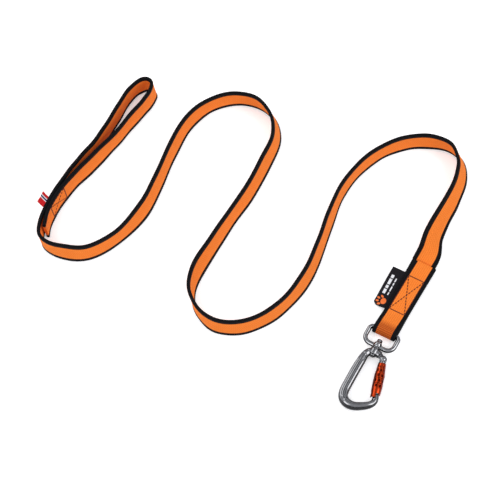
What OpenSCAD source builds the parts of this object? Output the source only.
// Dog lead: flat webbing with a hand loop at one end and a swivel carabiner at the other.
// Millimetres, +Z up. The origin is on the surface that the lead lies on, under the middle of
// the stitched strap end. +Y runs up the strap, away from the carabiner.

/* [Webbing] */
// Width of the webbing
web_w = 25; // [20:0.5:27]
// Thickness of the webbing
web_t = 3; // [2.4:0.1:3.2]
// Gap between two stitched layers
layer_gap = 0.6; // [0.4:0.1:1]
// Clearance between webbing and the ring's wire
soft_clear = 0.3; // [0.2:0.05:0.5]

/* [Strap end] */
// From the origin down to the middle of the swivel ring
ring_y = 56; // [50:1:60]
// Y of the cut end of the upper layer
tail_y = 41; // [30:1:43]
// Y where the doubled end joins the lead
lead_y = 44; // [44:1:44]
// Length over which the upper layer comes down behind the ring
drop_len = 24; // [16:1:30]
// Width of the stitched box
box_w = 17; // [12:0.5:19]
// Length of the stitched box
box_len = 43; // [30:1:50]
// Y of the middle of the stitched box
box_y = 0; // [-6:1:6]
// Width of a sewing thread
thread_w = 0.9; // [0.5:0.1:1.2]
// How far a thread stands out of the webbing
thread_h = 0.4; // [0.2:0.1:0.6]
// Gap between a thread and the curved webbing under it
thread_gap = 0.15; // [0.1:0.05:0.3]

/* [Label and tab] */
// How far the side label stands out from the strap
label_out = 14.5; // [8:0.5:18]
// Length of the side label
label_len = 46; // [30:1:50]
// How far the label is sewn in between the layers
label_in = 6; // [3:0.5:8]
// Width of the edge tab on the hand loop
tab_w = 13; // [8:1:16]
// How far the edge tab stands out
tab_out = 10; // [6:1:14]
// Thickness of the edge tab
tab_t = 0.8; // [0.5:0.1:1.2]

/* [Swivel] */
// Wire diameter of the swivel ring
ring_wire = 4.8; // [4:0.1:5]
// Height of the ring between the centres of its bars
ring_h = 18.7; // [17:0.1:20]
// Centreline radius of the two corners that hold the webbing
ring_r_top = 4; // [3:0.1:4.5]
// Centreline radius of the two corners at the swivel
ring_r_low = 7.5; // [5:0.1:8]
// Diameter of the boss that carries the swivel post
ring_boss_d = 9; // [8:0.1:10]
// Diameter of the swivel post
post_d = 4; // [3:0.1:4.4]
// Running clearance of the swivel post, on the radius
post_clear = 0.05; // [0.02:0.01:0.09]
// Base diameter of the flared post head
head_d = 8; // [6:0.1:8.4]
// Height of the flared post head
head_h = 5.4; // [3:0.1:6]
// Thickness of the swivel washer
washer_t = 0.8; // [0.5:0.1:1]

/* [Carabiner] */
// Width of the spine, seen from above
spine_w = 10; // [8:0.1:10.5]
// Width of the basket, seen from above
basket_w = 8.6; // [7:0.1:9]
// Width of the nose and of the short arm
nose_w = 6.8; // [6:0.1:7]
// Thickness of the nose and of the short arm
nose_t = 6.6; // [6:0.1:6.8]
// Length of the neck boss along the post
neck_len = 7.4; // [6:0.1:8]
// Diameter of the neck boss
neck_d = 9.6; // [9:0.1:10.4]

/* [Gate] */
// Lean of the gate from the clip's long axis
gate_lean = 15; // [14:0.5:16]
// Diameter of the gate arm
gate_d = 6.4; // [6:0.1:6.6]
// Length of the gate arm from its hinge
gate_len = 38.6; // [38:0.1:38.7]
// Diameter of the hinge pin
pin_d = 3; // [2.5:0.1:3.2]
// Thickness of the lug that the gate is hinged on
lug_t = 3.2; // [2.4:0.1:3.4]
// Radius of the hinge lug
lug_r = 3.9; // [3.6:0.1:4]
// Distance from the hinge to the lug's flat
lug_flat = 3.2; // [3:0.05:3.3]
// Bore for the gate spring and its push rod
spring_bore_d = 3.4; // [3:0.1:3.6]

/* [Lock sleeve] */
// Outer diameter of the sleeve at the hinge end
sleeve_d_top = 8.4; // [8.2:0.1:9]
// Outer diameter of the sleeve at its fullest
sleeve_d_mid = 10.6; // [10:0.1:11]
// Outer diameter of the sleeve at the nose end
sleeve_d_low = 9.4; // [9.2:0.1:10]
// Running clearance between sleeve and gate, on the radius
sleeve_clear = 0.08; // [0.04:0.01:0.1]
// Length of the tongue beside the nose
tongue_len = 4.6; // [3:0.1:5]
// Angle that the tongue covers
tongue_angle = 95; // [60:5:100]

/* [Hidden] */

$fn = 48;
orange = "darkorange";
metal = "silver";
anodised = "orangered";
thread_colour = "brown";

// Route of the webbing's centre line: X, Y and the angle from upright, in degrees. At 90 the
// strap lies flat, and at a positive angle its lower edge stands to the right of its run.
LEAD = [
    [0, 44, 90], [0, 57, 70], [-4, 74, 50], [-5, 96, 37], [-5, 122, 31], [-8, 148, 29],
    [-17, 167, 22], [-34, 177, 10], [-56, 173, -2], [-77, 160, -5], [-95, 138, -3],
    [-107, 108, -6], [-111, 74, -9], [-107, 40, -13], [-101, 6, -16], [-97, -28, -18],
    [-100, -62, -12], [-110, -91, -11], [-128, -114, -7], [-152, -125, -5], [-175, -120, 2],
    [-192, -104, 12], [-199, -80, 21], [-199, -46, 19], [-198, -10, 16], [-196, 28, 17],
    [-198, 66, 19], [-202, 98, 19], [-217, 120, 17], [-241, 129, 8], [-266, 121, 0],
    [-285, 100, -5], [-294, 70, -10], [-292, 32, -14], [-286, -8, -15], [-283, -44, -16],
    [-290, -84, -7], [-308, -115, -7], [-334, -127, -5], [-353, -127, 3]];
// The hand loop goes on from the lead: up the outer strand, round, and back to the sewn lap.
LOOP = [
    [-363, -117, 6], [-368, -98, 6], [-370, -74, 8], [-370, -48, 8], [-368, -26, 8],
    [-365, -4, 8], [-365, 20, 6], [-366, 46, 4], [-367, 68, 3], [-364, 84, 3], [-357, 93, 0],
    [-348, 91, -7], [-345, 80, -9], [-346, 64, -7], [-349, 42, -5], [-351, 20, -5],
    [-355, -2, -8], [-359, -24, -10], [-364, -48, -8], [-366.4, -74, -8], [-364.4, -97, -6],
    [-358.5, -114, -6]];
ROUTE = concat(LEAD, LOOP);
LEAD_STEPS = 2;
LOOP_STEPS = 3;
// Route positions of the lap's stitched box, on the outer and on the returning layer
OUTER_BOX = [41, 42.4];
INNER_BOX = [59.75, 58.65];
TAB_POS = 41.4;

clip_z = web_t + soft_clear + ring_wire / 2;
fold_r_in = ring_wire / 2 + soft_clear;
fold_r_out = fold_r_in + web_t;
bar_y = ring_h / 2;
ring_half_w = (web_w + 1.9 + ring_wire) / 2;
upper_z = web_t + layer_gap;
boss_end = -bar_y - ring_wire / 2;
washer_y = boss_end - 0.1;
neck_y = washer_y - washer_t - 0.1;
neck_end = neck_y - neck_len;
hinge = [12, -20];
spring_wire = 0.5;
spring_turns = 12;
sleeve_start = 5;
sleeve_end = gate_len - 0.3;
rod_tip = lug_flat + 0.1;
rod_len = 11;
spring_start = rod_tip + rod_len + 0.1;
bore_end = 30;
twist_wire = 0.7;
twist_turns = 6;
guide_d = 1.4;
guide_at = 33;
tongue_from = 85;
tongue_t = 0.8;

// ---------- route, as Catmull-Rom curves through its points ----------
function clamp_i(i) = max(0, min(len(ROUTE) - 1, i));
function blend(a, b, c, d, t) = 0.5 * (2 * b + (c - a) * t + (2 * a - 5 * b + 4 * c - d) * t * t
    + (3 * b - a - 3 * c + d) * t * t * t);
function slope(a, b, c, d, t) = 0.5 * ((c - a) + 2 * (2 * a - 5 * b + 4 * c - d) * t
    + 3 * (3 * b - a - 3 * c + d) * t * t);
function part_of(u) = min(floor(u), len(ROUTE) - 2);
function near(u, k) = ROUTE[clamp_i(part_of(u) + k)];
function at(u) = blend(near(u, -1), near(u, 0), near(u, 1), near(u, 2), u - part_of(u));
function run(u) = slope(near(u, -1), near(u, 0), near(u, 1), near(u, 2), u - part_of(u));
function flat_unit(v) = [v[0], v[1]] / norm([v[0], v[1]]);
function side(u) = [flat_unit(run(u))[1], -flat_unit(run(u))[0]];
// A point of the strap: across is measured from its middle to its upper edge, out to its right
function strap_point(u, across, out) =
    let (p = at(u), n = side(u), a = p[2],
        z = web_w / 2 * cos(a) + web_t / 2 * abs(sin(a)),
        level = -across * sin(a) + out * cos(a))
    [p[0] + n[0] * level, p[1] + n[1] * level, z + across * cos(a) + out * sin(a)];
function strap_ring(u) = [for (c = [[-1, -1], [-1, 1], [1, 1], [1, -1]])
    strap_point(u, c[0] * web_w / 2, c[1] * web_t / 2)];

// ---------- a closed solid from a list of rings ----------
module loft(rings) {
    n = len(rings[0]);
    m = len(rings);
    points = [for (r = rings) for (p = r) p];
    walls = [for (i = [0:m - 2]) for (j = [0:n - 1])
        let (a = i * n + j, b = i * n + (j + 1) % n)
        each [[a, b, a + n], [b, b + n, a + n]]];
    last = (m - 1) * n;
    caps = [for (j = [1:n - 2]) each [[0, j + 1, j], [last, last + j, last + j + 1]]];
    polyhedron(points = points, faces = concat(walls, caps), convexity = 10);
}

module strap(from, to, steps) {
    loft([for (i = [0:(to - from) * steps]) strap_ring(from + i / steps)]);
}

// A line of thread on the left face of the strap, from a to b, each [route, across].
// Lines that cross get their own height, so that no two surfaces lie in one place.
module strap_thread(a, b, height) {
    count = 6;
    route_mm = 25;
    d = b - a;
    l = norm([d[0] * route_mm, d[1]]);
    h = [-d[1] / l / route_mm, d[0] * route_mm / l] * thread_w / 2;
    more = d / l * thread_w * 0.4;
    loft([for (i = [0:count]) let (q = a - more + (d + 2 * more) * i / count)
        [for (k = [[-1, 0], [1, 0], [1, 1], [-1, 1]])
            strap_point(q[0] + k[0] * h[0], q[1] + k[0] * h[1],
                -web_t / 2 - thread_gap - k[1] * height)]]);
}

module strap_box(span) {
    w = box_w / 2;
    corners = [[span[0], -w], [span[1], -w], [span[1], w], [span[0], w]];
    step = 0.03;
    for (i = [0:3])
        strap_thread(corners[i], corners[(i + 1) % 4], thread_h - step * i);
    for (i = [0, 1])
        strap_thread(corners[i], corners[i + 2], thread_h - step * (i + 4));
}

// ---------- webbing ----------
module lead_webbing() {
    color(orange)
        strap(0, len(LEAD), LEAD_STEPS);
}

module handle_loop() {
    color(orange)
        strap(len(LEAD), len(ROUTE) - 1, LOOP_STEPS);
}

function drop(y, low, high) = low + (high - low) * (1 + cos(180 * y / drop_len)) / 2;

module swivel_fold() {
    bar = bar_y - ring_y;
    steps = 10;
    rise = clip_z + fold_r_in;
    outside = [for (a = [270:-10:90]) [bar + fold_r_out * cos(a), clip_z + fold_r_out * sin(a)]];
    upper = [for (i = [1:steps]) let (y = drop_len * i / steps)
        [bar + y, drop(y, upper_z, rise) + web_t]];
    under = [for (i = [steps:-1:1]) let (y = drop_len * i / steps)
        [bar + y, drop(y, upper_z, rise)]];
    inside = [for (a = [90:10:270]) [bar + fold_r_in * cos(a), clip_z + fold_r_in * sin(a)]];
    profile = concat([[lead_y, 0]], outside, upper, [[tail_y, upper_z + web_t], [tail_y, upper_z]],
        under, inside, [[lead_y, web_t]]);
    color(orange)
        translate([-web_w / 2, 0, 0])
            rotate([90, 0, 90])
                linear_extrude(web_w)
                    polygon(profile);
}

// A straight line of thread that lies on the upper layer, from a to b
module flat_thread(a, b) {
    d = b - a;
    translate([a[0], a[1], upper_z + web_t])
        rotate([0, 0, atan2(d[1], d[0])])
            translate([-thread_w / 2, -thread_w / 2, 0])
                cube([norm(d) + thread_w, thread_w, thread_h]);
}

module clip_stitching() {
    w = box_w / 2;
    h = box_len / 2;
    corners = [[-w, box_y - h], [w, box_y - h], [w, box_y + h], [-w, box_y + h]];
    color(thread_colour)
        union() {
            for (i = [0:3])
                flat_thread(corners[i], corners[(i + 1) % 4]);
            flat_thread(corners[0], corners[2]);
            flat_thread(corners[1], corners[3]);
        }
}

module handle_stitching() {
    color(thread_colour)
        union() {
            strap_box(OUTER_BOX);
            strap_box(INNER_BOX);
        }
}

module side_label() {
    edge = -web_w / 2;
    low = -label_len / 2;
    high = label_len / 2;
    color([0.06, 0.06, 0.07])
        translate([0, 2, web_t])
            linear_extrude(layer_gap)
                polygon([[edge + label_in, low], [edge + label_in, high - 1],
                    [edge - label_out + 1, high], [edge - label_out, low + 2], [edge - 2, low]]);
}

// The tab is sewn to the loop's upper edge and leans outwards.
module edge_tab() {
    lean = 35;
    p = strap_point(TAB_POS, web_w / 2, -web_t / 2);
    heading = atan2(run(TAB_POS)[1], run(TAB_POS)[0]);
    color("firebrick")
        translate(p)
            rotate([0, 0, heading])
                rotate([-lean, 0, 0])
                    translate([-tab_w / 2, 0, 0])
                        cube([tab_w, tab_t, tab_out]);
}

// ---------- swivel ----------
module in_clip() {
    translate([0, -ring_y, clip_z])
        children();
}

// Wire along a straight line from a to b, both in the clip's plane
module wire(a, b, d) {
    v = b - a;
    translate([a[0], a[1], 0])
        rotate([0, 0, atan2(v[1], v[0])])
            rotate([0, 90, 0])
                cylinder(d = d, h = norm(v));
}

// A quarter turn of wire round a corner's centre
module bend(centre, r, start, d) {
    translate([centre[0], centre[1], 0])
        rotate([0, 0, start])
            rotate_extrude(angle = 90)
                translate([r, 0])
                    circle(d = d);
}

module swivel_ring() {
    w = ring_half_w;
    h = bar_y;
    rt = ring_r_top;
    rl = ring_r_low;
    color(metal)
        in_clip()
            difference() {
                union() {
                    wire([rt - w, h], [w - rt, h], ring_wire);
                    wire([rl - w, -h], [w - rl, -h], ring_wire);
                    for (s = [-1, 1])
                        wire([s * w, rl - h], [s * w, h - rt], ring_wire);
                    bend([w - rt, h - rt], rt, 0, ring_wire);
                    bend([rt - w, h - rt], rt, 90, ring_wire);
                    bend([rl - w, rl - h], rl, 180, ring_wire);
                    bend([w - rl, rl - h], rl, 270, ring_wire);
                    translate([0, boss_end, 0])
                        rotate([-90, 0, 0])
                            cylinder(d = ring_boss_d, h = ring_wire);
                }
                translate([0, boss_end - 1, 0])
                    rotate([-90, 0, 0])
                        cylinder(d = post_d + 2 * post_clear, h = ring_wire + 2);
            }
}

// A rivet: flared head inside the ring, shank through ring and neck, set tail in the basket
module swivel_post() {
    head_y = -bar_y + ring_wire / 2 + 0.1;
    tail_at = head_y - neck_end + 0.05;
    tail_h = 1.8;
    r = head_d / 2;
    color(metal)
        in_clip()
            translate([0, head_y, 0])
                rotate([90, 0, 0])
                    rotate_extrude()
                        polygon([[0, -head_h], [r - 1.4, -head_h], [r - 0.9, 0.6 - head_h],
                            [r - 0.7, -1.6], [r, -0.8], [r, 0], [post_d / 2, 0],
                            [post_d / 2, tail_at], [3.2, tail_at], [2.9, tail_at + 1],
                            [2.1, tail_at + tail_h], [0, tail_at + tail_h]]);
}

module swivel_washer() {
    color(metal)
        in_clip()
            translate([0, washer_y, 0])
                rotate([90, 0, 0])
                    difference() {
                        cylinder(d = neck_d - 0.6, h = washer_t);
                        translate([0, 0, -1])
                            cylinder(d = post_d + 2 * post_clear, h = washer_t + 2);
                    }
}

// ---------- carabiner ----------
// Centre line from the nose round the basket, up the spine and over the neck to the hinge:
// X, Y, width in the plane and thickness
BODY = [
    [22.75, -57.5, nose_w - 0.6, nose_t - 0.4], [24, -61.5, nose_w, nose_t],
    [24.2, -65.6, nose_w, nose_t + 0.4], [21.4, -70.2, nose_w + 0.6, 9],
    [15.4, -74.6, basket_w - 0.4, 10],
    [7.8, -78.4, basket_w + 0.2, 10.6], [0.4, -78.2, spine_w, 11], [-5, -74.4, spine_w, 2 * clip_z],
    [-7.1, -67.4, spine_w, 2 * clip_z], [-7.4, -56, spine_w, 2 * clip_z],
    [-7.4, -42, spine_w, 2 * clip_z], [-7, -30, spine_w - 0.6, 11], [-6.4, -23, 8.2, 10],
    [-4.4, -18.4, 7.6, 9], [0, -16.5, 7.2, 8.6], [4.4, -16.7, 7, 8], [7.4, -17.8, 6.6, 7.4]];
BODY_STEPS = 3;
BODY_SIDES = 16;

function body_near(u, k) = BODY[max(0, min(len(BODY) - 1, min(floor(u), len(BODY) - 2) + k))];
function body_at(u) = blend(body_near(u, -1), body_near(u, 0), body_near(u, 1), body_near(u, 2),
    u - min(floor(u), len(BODY) - 2));
function body_run(u) = slope(body_near(u, -1), body_near(u, 0), body_near(u, 1), body_near(u, 2),
    u - min(floor(u), len(BODY) - 2));
function body_ring(u) = let (p = body_at(u), t = flat_unit(body_run(u)))
    [for (i = [0:BODY_SIDES - 1]) let (a = 360 * (i + 0.5) / BODY_SIDES,
        x = p[2] / 2 / cos(180 / BODY_SIDES) * cos(a), z = p[3] / 2 / cos(180 / BODY_SIDES) * sin(a))
        [p[0] + t[1] * x, p[1] - t[0] * x, z]];

module carabiner_body() {
    arm_end = [BODY[len(BODY) - 1][0], BODY[len(BODY) - 1][1]];
    to_arm = hinge - arm_end;
    color(metal)
        in_clip()
            difference() {
                union() {
                    loft([for (i = [0:(len(BODY) - 1) * BODY_STEPS]) body_ring(i / BODY_STEPS)]);
                    translate([0, neck_y, 0])
                        rotate([90, 0, 0])
                            cylinder(d = neck_d, h = neck_len);
                    translate([hinge[0], hinge[1], -lug_t / 2])
                        difference() {
                            cylinder(r = lug_r, h = lug_t);
                            rotate([0, 0, gate_lean])
                                translate([-lug_r, -lug_flat - lug_r, -1])
                                    cube([2 * lug_r, lug_r, lug_t + 2]);
                        }
                    translate([arm_end[0], arm_end[1], -lug_t / 2])
                        rotate([0, 0, atan2(to_arm[1], to_arm[0])])
                            translate([-2, -2.6, 0])
                                cube([norm(to_arm) + 1, 5.2, lug_t]);
                }
                translate([0, neck_y + 1, 0])
                    rotate([90, 0, 0])
                        cylinder(d = post_d + 2 * post_clear, h = neck_len + 2);
                translate([0, neck_end, 0])
                    rotate([90, 0, 0])
                        cylinder(r = 3.5, h = 2.2);
                translate([hinge[0], hinge[1], -lug_t])
                    cylinder(d = pin_d + 0.04, h = 2 * lug_t);
            }
}

module gate_hinge_pin() {
    head_r = 2.3;
    half = gate_d / 2 + 0.5;
    color(metal)
        in_clip()
            translate([hinge[0], hinge[1], 0])
                rotate_extrude()
                    polygon([[0, -half - 0.6], [head_r - 0.8, -half - 0.6], [head_r, -half],
                        [pin_d / 2, -half], [pin_d / 2, half], [head_r, half],
                        [head_r - 0.8, half + 0.6], [0, half + 0.6]]);
}

// ---------- gate: children are drawn along +Z from the hinge ----------
module in_gate() {
    in_clip()
        translate([hinge[0], hinge[1], 0])
            rotate([0, 0, gate_lean])
                rotate([90, 0, 0])
                    children();
}

module gate_arm() {
    eye_h = gate_d + 0.6;
    color(metal)
        difference() {
            union() {
                in_gate()
                    cylinder(d = gate_d, h = gate_len);
                in_clip()
                    translate([hinge[0], hinge[1], -eye_h / 2])
                        cylinder(d = gate_d + 0.2, h = eye_h);
            }
            in_clip()
                translate([hinge[0], hinge[1], 0]) {
                    cylinder(d = pin_d + 0.1, h = eye_h + 2, center = true);
                    cylinder(r = lug_r + 0.4, h = lug_t + 0.4, center = true);
                }
            in_gate() {
                cylinder(d = spring_bore_d, h = bore_end);
                guide_pin(guide_d + 0.04);
            }
        }
}

// The pin that the sleeve's groove runs on, set in the underside of the gate arm
module guide_pin(d) {
    translate([0, 0, guide_at])
        rotate([90, 0, 0])
            translate([0, 0, 1.8])
                cylinder(d = d, h = 2.2);
}

module gate_push_rod() {
    color(metal)
        in_gate()
            translate([0, 0, rod_tip])
                rotate_extrude()
                    polygon([[0, 0], [0.7, 0], [0.9, 0.4], [0.9, 2.4], [1.6, 3], [1.6, rod_len],
                        [0, rod_len]]);
}

// A round-wire coil along +Z
module coil(r, d, h, turns, per_turn, sides) {
    rise = (h - d) / (turns * 360);
    climb = atan2(rise * 180 / PI, r);
    loft([for (i = [0:turns * per_turn]) let (a = 360 * i / per_turn)
        [for (k = [0:sides - 1])
            let (b = 360 * k / sides, out = r + d / 2 * cos(b), up = d / 2 * sin(b),
                tilt = up * sin(climb))
            [out * cos(a) + tilt * sin(a), out * sin(a) - tilt * cos(a),
                d / 2 + rise * a + up * cos(climb)]]]);
}

module gate_spring() {
    color("gray")
        in_gate()
            translate([0, 0, spring_start])
                coil(spring_bore_d / 2 - spring_wire / 2 - 0.1, spring_wire,
                    bore_end - spring_start - 0.1, spring_turns, 10, 6);
}

module sleeve_end_ring() {
    color(metal)
        in_gate()
            translate([0, 0, 4.2])
                difference() {
                    cylinder(d = sleeve_d_top - 0.2, h = 0.7);
                    translate([0, 0, -1])
                        cylinder(d = gate_d + 0.02, h = 3);
                }
}

module sleeve_guide_pin() {
    color(metal)
        in_gate()
            guide_pin(guide_d);
}

module sleeve_spring() {
    color("gray")
        in_gate()
            translate([0, 0, 12.2])
                coil(3.72, twist_wire, 15.6, twist_turns, 14, 6);
}

// The barrel turns on the gate. Its tongue lies beside the nose and its mouth is open outwards.
module lock_sleeve() {
    bore = gate_d / 2 + sleeve_clear;
    top = sleeve_d_top / 2;
    mid = sleeve_d_mid / 2;
    low = sleeve_d_low / 2;
    color(anodised)
        in_gate()
            difference() {
                union() {
                    rotate_extrude()
                        polygon([[bore, sleeve_start], [top, sleeve_start], [top + 0.2, 8],
                            [top + 0.5, 12], [mid - 0.2, 15], [mid, 17], [mid, 33], [mid - 0.3, 36],
                            [low, sleeve_end], [bore, sleeve_end], [bore, 28], [4.3, 28],
                            [4.3, 12], [bore, 12]]);
                    rotate([0, 0, tongue_from])
                        rotate_extrude(angle = tongue_angle)
                            translate([low - tongue_t, sleeve_end - 0.5])
                                square([tongue_t, tongue_len + 0.5]);
                }
                rotate([0, 0, -200])
                    rotate_extrude(angle = 130)
                        translate([bore - 0.5, guide_at - 1])
                            square([4.3 - bore + 0.5, 2]);
            }
}

lead_webbing();
handle_loop();
swivel_fold();
clip_stitching();
handle_stitching();
side_label();
edge_tab();
swivel_ring();
swivel_post();
swivel_washer();
carabiner_body();
gate_hinge_pin();
gate_arm();
gate_push_rod();
gate_spring();
sleeve_end_ring();
sleeve_guide_pin();
sleeve_spring();
lock_sleeve();
